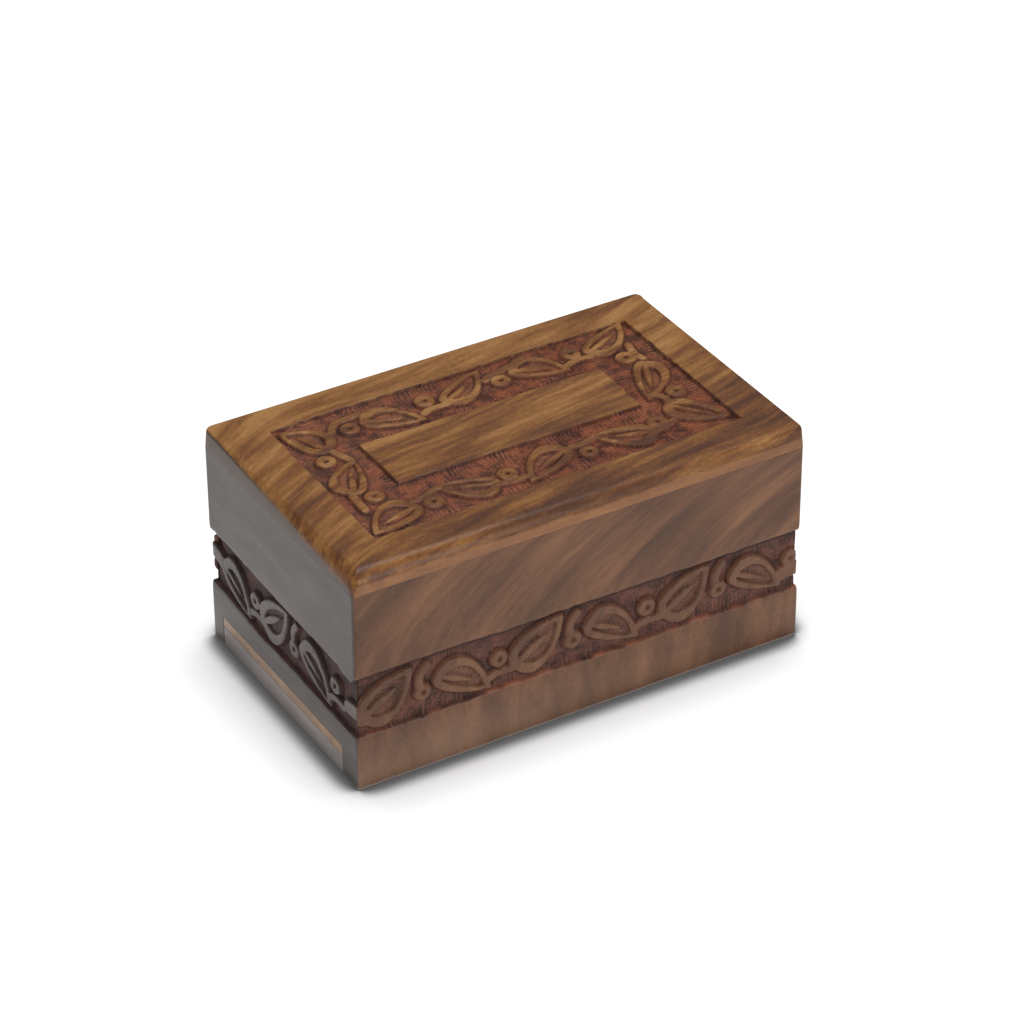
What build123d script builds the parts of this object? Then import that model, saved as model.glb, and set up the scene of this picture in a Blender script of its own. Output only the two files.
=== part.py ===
"""Hand-carved rosewood keepsake box with a sliding bottom.

Units are millimetres.  +X runs along the box's length, +Y towards its back,
+Z up.  The origin is on the floor, under the middle of the box.  The slide
opens through the left wall, towards -X.
"""
import os
from math import atan2, cos, hypot, sin

from build123d import *

# ---------------------------------------------------------------- driving sizes
LENGTH = 127.0
WIDTH = 76.2
HEIGHT = 62.5

TOP_THICK = 5.7            # the glued-on top board
WALL_THICK = 9.5           # the four mitred walls
CORNER_R = 1.4             # worn vertical corners of the walls
GROUND_CORNER_R = 0.8      # the same corners in the ground of the band
TOP_CORNER_R = 2.4         # the top board's corners, in plan
TOP_EDGE_R = 2.5           # round-over along the top board's upper edge

BAND_LOW = 15.6            # the carved band round the walls
BAND_HIGH = 32.8
BAND_DEPTH = 1.4
BLOCK_EDGE_R = 0.8         # rounding above the band
BASE_EDGE_R = 0.5          # rounding below the band

RING_X = (-50.5, 52.5)     # the carved ring in the top board, outside
RING_Y = (-26.1, 28.4)
PANEL_X = (-34.0, 34.5)    # the plain panel that the ring leaves standing
PANEL_Y = (-8.1, 11.4)
RING_DEPTH = 1.0

ORNAMENT_SUNK = 0.3        # leaves and berries stop this far below the faces
LEAF_RIM = 1.7             # width of the raised outline round each leaf
LEAF_BELLY_AT = 0.45       # where a leaf is widest, as a part of its length
LEAF_HALF_WIDTH = 0.31     # half its width, as a part of its length
LEAFLET_END_AT = 0.6       # where the leaflet in the hollow stops, likewise
LEAFLET_WIDTH = 0.25       # the leaflet's width, as a part of the leaf's
POCKET_START = 1.5         # how many rims from a leaf's root its hollow starts
POCKET_END = 2.0           # how many rims from its tip the hollow stops
POCKET_DEPTH = 0.5         # how deep a leaf is hollowed inside its outline
BERRY_R = 2.1
BERRY_ROUNDING = 0.5       # its rounding, as a part of its height
BERRY_PIT_R = 0.5

SLIDE_Y = (-30.5, 32.5)    # the opening for the slide, across the left wall
SLIDE_TOP = 9.0            # the opening's top, over the floor
BOARD_THICK = 2.9
SIDE_GAP = 0.15            # running clearance, each side
FACE_GAP = 0.1             # running clearance, above and below the board
FOOT_GAP = 0.2             # the end block hangs clear of the floor
FAR_GROOVE = 3.0           # the groove in the right wall that takes the far end

# ---------------------------------------------------------------- worked out
WALL_TOP = HEIGHT - TOP_THICK
HALF_L = LENGTH / 2
HALF_W = WIDTH / 2
INNER_HALF_L = HALF_L - WALL_THICK
INNER_HALF_W = HALF_W - WALL_THICK
BOARD_TOP = SLIDE_TOP - FACE_GAP
BOARD_LOW = BOARD_TOP - BOARD_THICK
BOARD_END = INNER_HALF_L + FAR_GROOVE - 2 * SIDE_GAP

# ---------------------------------------------------------------- ornament
# Leaves on the top board: where each one springs from and where its tip is,
# in X and Y.  They follow one another round the ring, clockwise.
TOP_LEAVES = [
    ((-42.4, 13.6), (-46.0, 25.8)),
    ((-29.2, 20.6), (-14.0, 14.2)),
    ((-6.2, 18.2), (7.6, 26.8)),
    ((14.8, 22.2), (28.6, 15.8)),
    ((36.6, 19.6), (50.4, 27.2)),
    ((45.2, 9.2), (39.2, -5.6)),
    ((40.8, -11.4), (50.8, -22.6)),
    ((32.0, -20.0), (17.6, -14.4)),
    ((9.2, -16.2), (-5.2, -23.2)),
    ((-12.6, -19.8), (-27.4, -13.6)),
    ((-34.8, -18.0), (-48.8, -23.8)),
    ((-44.8, -5.8), (-38.8, 7.2)),
]
TOP_BERRIES = [
    (-32.5, 19.9), (-10.4, 21.4), (10.8, 19.9), (32.4, 21.9),
    (43.6, 13.4), (45.6, -6.6), (34.6, -16.2), (12.9, -19.4),
    (-8.9, -17.6), (-30.7, -18.9), (-41.9, -9.4), (-44.4, 9.6),
]

# The band repeats a rising leaf, a berry, a falling leaf and a berry.  Each
# leaf goes from its root to its tip, along the wall and up from the floor.
RISING_LEAF = ((1.4, 20.2), (14.4, 30.6))
FALLING_LEAF = ((1.2, 26.8), (15.4, 18.4))
BERRY_AFTER_RISING = (17.0, 22.7)
BERRY_AFTER_FALLING = (17.0, 24.4)
LEAF_PITCH = 21.1
LONG_WALL = {"first": 0.6, "leaves": 6}
RIGHT_WALL = {"first": 5.6, "leaves": 3}
LEFT_WALL = {"first": 5.0, "leaves": 3}

PAST = 1.0                 # how far cutting shapes run past the wood


def box_between(x, y, z):
    """A box from (low, high) pairs along each axis."""
    size = [pair[1] - pair[0] for pair in (x, y, z)]
    middle = [(pair[0] + pair[1]) / 2 for pair in (x, y, z)]
    return Pos(*middle) * Box(*size)


def slab(low, high, inset, corner_r, low_r=0.0, high_r=0.0):
    """One storey of the box's outside, with worn corners and edges."""
    solid = box_between(
        (-HALF_L + inset, HALF_L - inset),
        (-HALF_W + inset, HALF_W - inset),
        (low, high),
    )
    solid = fillet(solid.edges().filter_by(Axis.Z), corner_r)
    if low_r:
        solid = fillet(solid.edges().group_by(Axis.Z)[0], low_r)
    if high_r:
        solid = fillet(solid.edges().group_by(Axis.Z)[-1], high_r)
    return solid


def lens(root, tip, half_width):
    """A leaf outline: two arcs between the leaf's root and its tip."""
    along = (tip[0] - root[0], tip[1] - root[1])
    length = hypot(*along)
    normal = (-along[1] / length, along[0] / length)
    belly = (root[0] + along[0] * LEAF_BELLY_AT, root[1] + along[1] * LEAF_BELLY_AT)
    sides = []
    for side in (1, -1):
        through = (belly[0] + side * half_width * normal[0],
                   belly[1] + side * half_width * normal[1])
        sides.append(ThreePointArc(root, through, tip))
    return make_face(Wire(sides))


def leaf(root, tip, height):
    """A raised outline round a hollow, with a small leaflet in the hollow."""
    angle = atan2(tip[1] - root[1], tip[0] - root[0])
    length = hypot(tip[0] - root[0], tip[1] - root[1])

    def on_axis(distance):
        return (root[0] + distance * cos(angle), root[1] + distance * sin(angle))

    half_width = LEAF_HALF_WIDTH * length
    pocket_ends = on_axis(LEAF_RIM * POCKET_START), on_axis(length - LEAF_RIM * POCKET_END)
    leaflet_ends = on_axis(LEAF_RIM), on_axis(length * LEAFLET_END_AT)
    body = extrude(lens(root, tip, half_width), height)
    pocket = extrude(lens(*pocket_ends, half_width - LEAF_RIM), POCKET_DEPTH)
    leaflet = extrude(lens(*leaflet_ends, half_width * LEAFLET_WIDTH), height)
    return body - Pos(0, 0, height - POCKET_DEPTH) * pocket + leaflet


def berry(centre, height):
    """A round boss with a punched pit in its middle."""
    boss = Cylinder(BERRY_R, height, align=(Align.CENTER, Align.CENTER, Align.MIN))
    boss = fillet(boss.edges().group_by(Axis.Z)[-1], height * BERRY_ROUNDING)
    pit = Cylinder(BERRY_PIT_R, POCKET_DEPTH,
                   align=(Align.CENTER, Align.CENTER, Align.MIN))
    boss -= Pos(0, 0, height - POCKET_DEPTH) * pit
    return Pos(centre[0], centre[1], 0) * boss


def carved_band(plane, layout, rising_first):
    """The leaves and berries of one wall, standing on the band's ground."""
    height = BAND_DEPTH - ORNAMENT_SUNK
    pieces = []
    for number in range(layout["leaves"]):
        start = layout["first"] + number * LEAF_PITCH
        rising = (number % 2 == 0) == rising_first
        root, tip = RISING_LEAF if rising else FALLING_LEAF
        dot = BERRY_AFTER_RISING if rising else BERRY_AFTER_FALLING
        pieces.append(leaf((root[0] + start, root[1]), (tip[0] + start, tip[1]), height))
        pieces.append(berry((dot[0] + start, dot[1]), height))
    return [plane * piece for piece in pieces]


def wall_ring():
    """All four walls as one ring, before it is parted at the mitres."""
    base = slab(0, BAND_LOW, 0, CORNER_R, high_r=BASE_EDGE_R)
    ground = slab(BAND_LOW, BAND_HIGH, BAND_DEPTH, GROUND_CORNER_R)
    block = slab(BAND_HIGH, WALL_TOP, 0, CORNER_R, low_r=BLOCK_EDGE_R)
    ring = base + ground + block
    sunk = BAND_DEPTH
    front = Plane((-HALF_L, -HALF_W + sunk, 0), x_dir=(1, 0, 0), z_dir=(0, -1, 0))
    right = Plane((HALF_L - sunk, -HALF_W, 0), x_dir=(0, 1, 0), z_dir=(1, 0, 0))
    back = Plane((HALF_L, HALF_W - sunk, 0), x_dir=(-1, 0, 0), z_dir=(0, 1, 0))
    left = Plane((-HALF_L + sunk, HALF_W, 0), x_dir=(0, -1, 0), z_dir=(-1, 0, 0))
    ornament = carved_band(front, LONG_WALL, True)
    ornament += carved_band(right, RIGHT_WALL, True)
    ornament += carved_band(back, LONG_WALL, False)
    ornament += carved_band(left, LEFT_WALL, False)
    for piece in ornament:
        ring += piece
    return ring - inside() - slide_way()


def inside():
    """The room inside the walls, open above and below."""
    return box_between(
        (-INNER_HALF_L, INNER_HALF_L),
        (-INNER_HALF_W, INNER_HALF_W),
        (-PAST, WALL_TOP + PAST),
    )


def slide_way():
    """The grooves that the board runs in, and the mouth in the left wall."""
    grooves = box_between(
        (-HALF_L - PAST, INNER_HALF_L + FAR_GROOVE),
        SLIDE_Y,
        (BOARD_LOW - FACE_GAP, SLIDE_TOP),
    )
    mouth = box_between((-HALF_L - PAST, -INNER_HALF_L), SLIDE_Y, (-PAST, SLIDE_TOP))
    return grooves + mouth


def mitred_walls():
    """The ring parted on the diagonals through its corners."""
    ring = wall_ring()
    spine = HALF_L - HALF_W
    corners = {
        "front_left": (-HALF_L - PAST, -HALF_W - PAST),
        "front_right": (HALF_L + PAST, -HALF_W - PAST),
        "back_right": (HALF_L + PAST, HALF_W + PAST),
        "back_left": (-HALF_L - PAST, HALF_W + PAST),
    }
    spine_left = (-spine, 0)
    spine_right = (spine, 0)
    wedges = {
        "front_wall": ["front_left", "front_right", spine_right, spine_left],
        "right_wall": ["front_right", "back_right", spine_right],
        "back_wall": ["back_right", "back_left", spine_left, spine_right],
        "left_wall": ["back_left", "front_left", spine_left],
    }
    walls = {}
    for name, outline in wedges.items():
        points = [corners.get(point, point) if isinstance(point, str) else point
                  for point in outline]
        prism = extrude(make_face(Polyline(*points, close=True)), WALL_TOP)
        walls[name] = ring & prism
    return walls


def top_panel():
    """The top board with its carved ring."""
    board = slab(WALL_TOP, HEIGHT, 0, TOP_CORNER_R, high_r=TOP_EDGE_R)
    ground_z = HEIGHT - RING_DEPTH
    ring = box_between(RING_X, RING_Y, (ground_z, HEIGHT + PAST))
    ring -= box_between(PANEL_X, PANEL_Y, (ground_z, HEIGHT + PAST))
    board -= ring
    height = RING_DEPTH - ORNAMENT_SUNK
    for root, tip in TOP_LEAVES:
        board += Pos(0, 0, ground_z) * leaf(root, tip, height)
    for centre in TOP_BERRIES:
        board += Pos(0, 0, ground_z) * berry(centre, height)
    return board


def slide_board():
    """The thin board that closes the bottom; its end shows on the left."""
    return box_between(
        (-HALF_L, BOARD_END),
        (SLIDE_Y[0] + SIDE_GAP, SLIDE_Y[1] - SIDE_GAP),
        (BOARD_LOW, BOARD_TOP),
    )


def slide_end_block():
    """The block under the board's outer end, which fills the left wall."""
    return box_between(
        (-HALF_L, -INNER_HALF_L - SIDE_GAP),
        (SLIDE_Y[0] + SIDE_GAP, SLIDE_Y[1] - SIDE_GAP),
        (FOOT_GAP, BOARD_LOW),
    )


def main():
    nodes = {"top_panel": top_panel()}
    nodes.update(mitred_walls())
    nodes["slide_board"] = slide_board()
    nodes["slide_end_block"] = slide_end_block()
    os.makedirs("parts", exist_ok=True)
    for name, shape in nodes.items():
        export_step(shape, f"parts/{name}.step")
        print(name, "volumes", [round(solid.volume, 2) for solid in shape.solids()])


main()
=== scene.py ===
"""The looks of a hand-carved rosewood keepsake box with a sliding bottom.

Shapes are worked out in millimetres, in the model's own frame, and become
metres when their mesh is made.  The carving is real relief: a vine of leaves
and berries, sunk in the top board and in a band round the four walls.
"""
import math

import bpy
import numpy as np
from mathutils import Matrix, Vector


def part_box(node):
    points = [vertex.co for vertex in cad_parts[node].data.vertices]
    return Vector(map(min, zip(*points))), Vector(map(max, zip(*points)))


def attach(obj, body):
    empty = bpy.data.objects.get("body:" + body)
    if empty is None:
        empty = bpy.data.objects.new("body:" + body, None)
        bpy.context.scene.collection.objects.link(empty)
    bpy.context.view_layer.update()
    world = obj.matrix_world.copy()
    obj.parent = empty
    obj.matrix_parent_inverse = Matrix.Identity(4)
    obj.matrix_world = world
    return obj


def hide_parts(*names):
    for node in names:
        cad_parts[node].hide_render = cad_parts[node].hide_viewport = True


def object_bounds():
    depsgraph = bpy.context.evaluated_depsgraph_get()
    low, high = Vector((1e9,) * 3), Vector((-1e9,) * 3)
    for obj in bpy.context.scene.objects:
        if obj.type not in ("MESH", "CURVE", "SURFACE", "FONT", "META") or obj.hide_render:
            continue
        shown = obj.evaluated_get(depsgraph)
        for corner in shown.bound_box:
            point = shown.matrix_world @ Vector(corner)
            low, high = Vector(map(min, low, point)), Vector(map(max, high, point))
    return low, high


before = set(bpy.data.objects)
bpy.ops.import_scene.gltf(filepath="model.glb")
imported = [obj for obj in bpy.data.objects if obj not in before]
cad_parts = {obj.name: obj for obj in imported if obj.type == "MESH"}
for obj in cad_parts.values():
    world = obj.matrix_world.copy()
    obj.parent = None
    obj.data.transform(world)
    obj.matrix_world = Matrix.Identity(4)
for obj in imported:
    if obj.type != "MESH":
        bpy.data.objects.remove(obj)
CAD_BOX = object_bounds()

# ---------------------------------------------------------------- sizes, mm
MM = 0.001


def node_box(name):
    """A CAD node's low and high corner, in millimetres."""
    return [np.array(corner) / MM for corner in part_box(name)]


LOW, HIGH = [np.array(corner) / MM for corner in CAD_BOX]
LENGTH, WIDTH, HEIGHT = HIGH - LOW
HALF_L = LENGTH / 2
HALF_W = WIDTH / 2
WALL_TOP = node_box("top_panel")[0][2]
WALL_THICK = 9.5           # as in the CAD walls
BOARD_LOW, BOARD_HIGH = node_box("slide_board")
BLOCK_LOW, BLOCK_HIGH = node_box("slide_end_block")
SIDE_GAP = 0.15            # the slide's running clearance, each side
FACE_GAP = 0.1             # and above and below its board

CORNER_R = 0.8             # worn vertical corners of the walls
TOP_CORNER_R = 2.0         # and of the top board's face, in plan
# The round-over of the top board, at the two ends of each side, anticlockwise.
FRONT_ROUND = (3.4, 1.8)
RIGHT_ROUND = (0.5, 1.8)
BACK_ROUND = (0.15, 0.35)
LEFT_ROUND = (0.8, 4.0)
ROUND_ZONE = 4.2           # how far in from the edge any of it reaches
ROUNDNESS = 1.6            # 1 is a chamfer and 2 a quarter circle
ARRIS_R = 0.4              # worn edge along the walls' feet
JOINT_R = 0.02             # eased edge beside each glue joint
SLIDE_EDGE_R = 0.2         # eased edges of the sliding pieces

RING_X = (-50.5, 52.5)     # the ring sunk in the top board, outside
RING_Y = (-26.1, 28.4)
PANEL_X = (-34.0, 34.5)    # the plain panel that it leaves in the middle
PANEL_Y = (-8.1, 11.4)
RING_DEPTH = 0.9

BAND_LOW = 15.6            # the carved band round the walls
BAND_HIGH = 32.8
BAND_DEPTH = 1.4
ORNAMENT_SUNK = 0.25       # leaves and berries stop this far below the faces
SHELF = 0.5                # how wide the slope at the edge of the ground is
RIM = 2.35                 # the raised outline round each leaf
LEFT_RIM = 2.75            # and on the left wall
POCKET_DEPTH = 0.7         # the hollow in a leaf, and the pit in a berry
LOWER = 0.08               # stems and leaflets lie this much below the leaves
VEIN_DEPTH = 0.08          # cuts in the hollow of a leaf
GROOVE_PLACE = 0.34        # the groove round each shape, out from its edge
GROOVE_WIDTH = 0.22
CHISEL_STEP = 1.1          # from one cut in the ground to the next

# Spacing of the grid lines: in the walls' carving, in the top board's, round
# the walls' worn corners and on plain wood.
FINE = 0.26
TOP_FINE = 0.29
CORNER_FINE = 0.32
TOP_PLAIN = 1.1

# Leaves on the top board: root, tip, and how far the outline swells to the
# left and to the right of the line between them.  Clockwise round the ring.
TOP_LEAVES = [
    ((-41.6, 13.2), (-48.8, 27.0), 3.6, 6.8),
    ((-29.2, 21.2), (-13.3, 13.5), 6.6, 2.9),
    ((-6.9, 18.1), (8.1, 27.3), 2.8, 6.2),
    ((14.1, 22.7), (29.0, 15.7), 6.9, 2.8),
    ((35.5, 19.9), (51.4, 28.2), 2.6, 6.6),
    ((46.2, 10.2), (37.9, -6.6), 6.6, 2.9),
    ((40.1, -9.9), (51.8, -23.2), 3.8, 5.6),
    ((32.6, -19.3), (16.4, -13.4), 6.3, 3.4),
    ((9.8, -15.5), (-6.0, -23.8), 2.9, 6.6),
    ((-12.3, -19.9), (-27.9, -12.9), 6.2, 2.5),
    ((-34.3, -18.7), (-49.7, -24.1), 3.2, 7.4),
    ((-45.0, -6.7), (-38.3, 7.6), 6.8, 2.7),
]
TOP_BERRIES = [
    (-32.4, 19.8), (-10.4, 21.5), (10.8, 20.0), (32.5, 22.1),
    (43.6, 13.3), (45.9, -6.5), (34.3, -16.3), (12.8, -19.2),
    (-9.3, -17.5), (-30.6, -18.9), (-41.6, -9.5), (-44.5, 9.7),
]
# The vine's stem passes the berries, on alternate sides.
TOP_STEMS = [
    [(-37.8, 19.6), (-35.0, 23.4), (-30.4, 24.2), (-26.0, 24.9)],
    [(-13.2, 16.6), (-10.4, 17.7), (-6.4, 17.4)],
    [(7.4, 22.0), (9.7, 23.6), (13.4, 24.2), (16.5, 25.0)],
    [(28.8, 17.6), (32.5, 18.9), (36.2, 18.3)],
    [(47.4, 18.4), (46.6, 14.6), (47.2, 11.0)],
    [(40.2, -5.0), (42.0, -7.4), (41.6, -10.2)],
    [(38.0, -17.6), (34.6, -19.0), (31.6, -19.6)],
    [(17.2, -14.1), (13.5, -15.4), (10.2, -15.0)],
    [(-6.0, -20.6), (-9.5, -20.7), (-13.2, -20.1)],
    [(-27.4, -14.0), (-31.0, -15.6), (-34.6, -16.0)],
    [(-46.4, -13.8), (-46.2, -10.2), (-46.0, -6.0)],
    [(-38.8, 7.2), (-39.9, 10.4), (-41.0, 13.4)],
]

# The walls' vine, along each wall and up from the floor.  A rising and a
# falling leaf take turns, each followed by a berry and a piece of stem.
RISING = {
    "leaf": ((1.0, 20.4), (15.6, 31.0), 4.6, 7.4),
    "berry": (18.4, 22.2),
    "stem": [(17.6, 23.6), (17.8, 27.0), (19.6, 29.6)],
}
FALLING = {
    "leaf": ((0.5, 25.0), (16.4, 16.6), 7.0, 3.0),
    "berry": (18.6, 24.2),
    "stem": [(15.4, 19.2), (18.6, 20.2), (22.8, 20.0)],
}
BERRY_R = 2.6
TOP_BERRY_SIZE = 1.05      # the top board's berries, against the walls'
PIT_R = 0.55
STEM_R = 1.25              # half a stem's width
CORNER_STEM_R = 2.3        # and where it goes round a corner

# The seeds of what differs by chance: in the top board's ground, in its leaves
# and in the cuts inside every leaf.
TOP_SEED = 51
TOP_LEAF_SEED = 5
VEIN_SEED = 3

# Each wall: which corner its left end is at, seen from outside, the way it
# runs, its length, its seed, where its first leaf starts and how far on the
# next one does, how many leaves it has, which of them rise (0 is the even
# ones), how high the stem turns each corner, how much deeper the ground lies
# at each end, and how wide the rims of its leaves are.
WALLS = {
    "front_wall": dict(
        at=(-1, -1), along=(1, 0), length=LENGTH, seed=11, first=0.3, pitch=21.1, leaves=6,
        rising=0, stem_ends=(22.5, 20.8), end_cuts=(0.0, -0.55), rim=RIM),
    "right_wall": dict(
        at=(1, -1), along=(0, 1), length=WIDTH, seed=23, first=5.6, pitch=21.1, leaves=3,
        rising=0, stem_ends=(20.8, 27.0), end_cuts=(-0.55, 0.0), rim=RIM),
    "back_wall": dict(
        at=(1, 1), along=(-1, 0), length=LENGTH, seed=37, first=0.3, pitch=21.1, leaves=6,
        rising=1, stem_ends=(27.0, 26.6), end_cuts=(0.0, 0.9), rim=RIM),
    "left_wall": dict(
        at=(-1, 1), along=(0, -1), length=WIDTH, seed=41, first=4.9, pitch=20.6, leaves=3,
        rising=1, stem_ends=(26.6, 22.5), end_cuts=(0.9, 0.0), rim=LEFT_RIM),
}


# ---------------------------------------------------------------- small maths
def step(start, stop, value):
    """0 before start, 1 after stop, with an eased slope between them."""
    t = np.clip((value - start) / (stop - start), 0, 1)
    return 0.5 * t + 0.5 * t * t * (3 - 2 * t)


def ripple(x, y, size, seed):
    """Smooth random numbers from -1 to 1 that change over about size mm."""
    table = np.random.default_rng(seed).uniform(-1, 1, (64, 64))
    x, y = np.broadcast_arrays(x / size, y / size)
    column, row = np.floor(x).astype(int), np.floor(y).astype(int)
    tx, ty = x - column, y - row
    tx, ty = tx * tx * (3 - 2 * tx), ty * ty * (3 - 2 * ty)

    def corner(right, up):
        return table[(column + right) % 64, (row + up) % 64]

    lower = corner(0, 0) * (1 - tx) + corner(1, 0) * tx
    upper = corner(0, 1) * (1 - tx) + corner(1, 1) * tx
    return lower * (1 - ty) + upper * ty


def between(start, stop, part):
    """The point that lies part of the way from start to stop."""
    return np.asarray(start) * (1 - part) + np.asarray(stop) * part


def sideways(root, tip):
    """The unit vector to the left of the way from root to tip."""
    along = np.subtract(tip, root)
    return np.array([-along[1], along[0]]) / np.hypot(*along)


def drop(root, tip, left, right, blunt=0.42, point=0.88, count=28):
    """A leaf's outline: round at the root, pointed at the tip."""
    t = (1 - np.cos(np.linspace(0, np.pi, count))) / 2
    swell = t**blunt * (1 - t) ** point
    swell = (swell / swell.max())[:, None]
    spine = between(root, tip, t[:, None])
    side = sideways(root, tip)
    return np.vstack([spine + side * left * swell, (spine - side * right * swell)[-2:0:-1]])


def nearest_on(x, y, start, stop):
    """Squared distance to the straight line between two points."""
    ex, ey = stop[0] - start[0], stop[1] - start[1]
    wx, wy = x - start[0], y - start[1]
    part = np.clip((wx * ex + wy * ey) / (ex * ex + ey * ey), 0, 1)
    return (wx - ex * part) ** 2 + (wy - ey * part) ** 2


def depth_inside(x, y, outline):
    """Distance to a closed outline, positive inside it and negative outside."""
    nearest = np.full(x.shape, np.inf)
    inside = np.zeros(x.shape, bool)
    for start, stop in zip(outline, np.roll(outline, -1, axis=0)):
        nearest = np.minimum(nearest, nearest_on(x, y, start, stop))
        if start[1] != stop[1]:
            crossing = start[0] + (stop[0] - start[0]) * (y - start[1]) / (stop[1] - start[1])
            inside ^= ((start[1] > y) != (stop[1] > y)) & (x < crossing)
    return np.where(inside, 1, -1) * np.sqrt(nearest)


def distance_to_path(x, y, points):
    """Distance to a smooth line through points."""
    ends = [2 * points[0] - points[1]], [2 * points[-1] - points[-2]]
    knots = np.vstack([ends[0], points, ends[1]])
    path = [points[0]]
    for before, start, stop, after in zip(knots, knots[1:], knots[2:], knots[3:]):
        for t in (0.25, 0.5, 0.75, 1.0):
            path.append(0.5 * (2 * start + (stop - before) * t
                               + (2 * before - 5 * start + 4 * stop - after) * t**2
                               + (3 * start - before - 3 * stop + after) * t**3))
    nearest = np.full(x.shape, np.inf)
    for start, stop in zip(path, path[1:]):
        nearest = np.minimum(nearest, nearest_on(x, y, start, stop))
    return np.sqrt(nearest)


# ---------------------------------------------------------------- the carving
class Carving:
    """The height of carved shapes over their ground, on a grid of points."""

    def __init__(self, x, y, depth, seed, rim=RIM):
        self.x, self.y, self.rim = x, y, rim
        self.rise = depth - ORNAMENT_SUNK
        self.height = np.zeros_like(x)
        self.groove = np.zeros_like(x)
        self.hollow = np.zeros_like(x)
        self.scratch = np.zeros_like(x)
        self.random = np.random.default_rng(seed)

    def near(self, points, margin=2.0):
        """The grid's points in and close to a shape."""
        low, high = np.min(points, axis=0) - margin, np.max(points, axis=0) + margin
        return ((self.x > low[0]) & (self.x < high[0])
                & (self.y > low[1]) & (self.y < high[1]))

    def add(self, where, body, edge, inner=0.0):
        """Puts a shape on the ground, with the chisel's groove round it, drawn dark; cuts inside it get
        painted shade.
        """
        covered = step(0.4, 0.8, self.height[where] / self.rise)
        self.height[where] = np.maximum(self.height[where], body)
        groove = np.exp(-((edge + GROOVE_PLACE) / GROOVE_WIDTH) ** 2)
        groove = groove * (edge < 0.1) * (1 - 0.7 * covered)
        self.groove[where] = np.maximum(self.groove[where] * (edge < 0.3), np.maximum(groove, inner))

    def leaf(self, root, tip, left, right):
        """An outline round a pocket, and a leaflet lying in the pocket."""
        wander = self.random.uniform(-0.3, 0.3, 4)
        root, tip = np.add(root, wander[:2]), np.add(tip, wander[2:])
        left, right = np.array([left, right]) * self.random.uniform(0.95, 1.05, 2)
        outline = drop(root, tip, left, right)
        where = self.near(outline)
        x, y = self.x[where], self.y[where]
        edge = depth_inside(x, y, outline)
        body = self.rise * step(-0.25, 0.30, edge)
        # Hollow the pocket, inside a rim of even width.
        pocket_left, pocket_right = max(left - self.rim, 0.9), max(right - self.rim, 0.9)
        pocket_ends = between(root, tip, 0.14), between(root, tip, 0.86)
        pocket = depth_inside(x, y, drop(*pocket_ends, pocket_left, pocket_right, blunt=0.55))
        body -= POCKET_DEPTH * step(-0.15, 0.35, pocket)
        # The leaflet leaves the root and follows the middle of the pocket.
        side = sideways(root, tip)
        lean = side * (pocket_left - pocket_right) * 0.36
        half = 0.19 * (pocket_left + pocket_right)
        leaflet_ends = between(root, tip, 0.04) + lean * 0.4, between(root, tip, 0.70) + lean
        leaflet = depth_inside(x, y, drop(*leaflet_ends, half, half, blunt=0.6))
        veins = (x * side[1] - y * side[0]) * 4.2 + (x * side[0] + y * side[1]) * 5.2
        body += VEIN_DEPTH * np.sin(veins) * step(0.3, 0.8, pocket)
        leaflet_body = (self.rise - LOWER) * step(-0.25, 0.35, leaflet)
        body = np.where(pocket > -0.3, np.maximum(body, leaflet_body), body)
        # The slits beside the leaflet are drawn dark: painted shade.
        slit = np.exp(-((pocket - 0.30) / 0.30) ** 2) + np.exp(-((leaflet + 0.30) / 0.25) ** 2)
        slit = 0.7 * slit * (pocket > -0.1) * (leaflet < 0.1)
        self.hollow[where] = np.maximum(self.hollow[where], step(-0.2, 0.4, pocket))
        patchy = np.clip(0.35 + 0.6 * ripple(x, y, 1.7, VEIN_SEED), 0, 1)
        cuts = patchy * (0.5 + 0.5 * np.sin(veins)) ** 2 * step(0.2, 0.5, pocket) * (leaflet < -0.2)
        self.scratch[where] = np.maximum(self.scratch[where], cuts)
        self.add(where, body, edge, np.clip(slit, 0, 1))

    def berry(self, centre, size=1.0):
        """A round boss with a punched pit."""
        where = self.near([centre], margin=BERRY_R + 2)
        away = np.hypot(self.x[where] - centre[0], self.y[where] - centre[1])
        radius = BERRY_R * size * self.random.uniform(0.95, 1.05)
        body = self.rise * step(-0.25, 0.40, radius - away)
        body += 0.10 * (1 - np.clip(away / radius, 0, 1) ** 2)
        pit = 1 - step(PIT_R - 0.2, PIT_R + 0.3, away)
        body -= POCKET_DEPTH * pit
        # The pit is drawn dark as well: painted shade.
        self.add(where, body, radius - away, pit)

    def stem(self, points, radius=STEM_R):
        """A length of the vine's stem through points."""
        points = np.asarray(points, float)
        where = self.near(points, margin=radius + 2)
        edge = radius - distance_to_path(self.x[where], self.y[where], points)
        self.add(where, (self.rise - LOWER) * step(-0.25, 0.40, edge), edge)

    def fade(self, amount):
        """Lets what is carved so far die out where amount falls to 0."""
        self.height *= amount
        self.groove *= amount
        self.hollow *= amount
        self.scratch *= amount

    def colours(self, shelf, marks, line, side_stroke_and_light, side_shade=0.0, wiped=0.62):
        """Numbers for the material: stain, dark line with painted shade, and pale stroke with some
        painted light.
        """
        part = self.height / self.rise
        clean = step(wiped, wiped + 0.26, part)
        side = step(0.10, 0.30, part) * (1 - step(0.70, 0.92, part)) * (self.hollow < 0.5)
        stroke = np.maximum(marks * (part < 0.3), self.scratch)
        # Painted shade on the sloping sides of the shapes.
        line = np.clip(line + side_shade * side, 0, 1)
        # The sides' pale stroke is partly pale cut wood and partly painted light.
        return {
            "stain": step(0.02, 0.25, shelf) * (1 - 0.97 * clean) * (1 - 0.22 * self.hollow),
            "line": line * step(0.02, 0.2, shelf),
            "stroke": np.maximum(stroke, side_stroke_and_light * side) * step(0.1, 0.3, shelf),
        }


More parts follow.
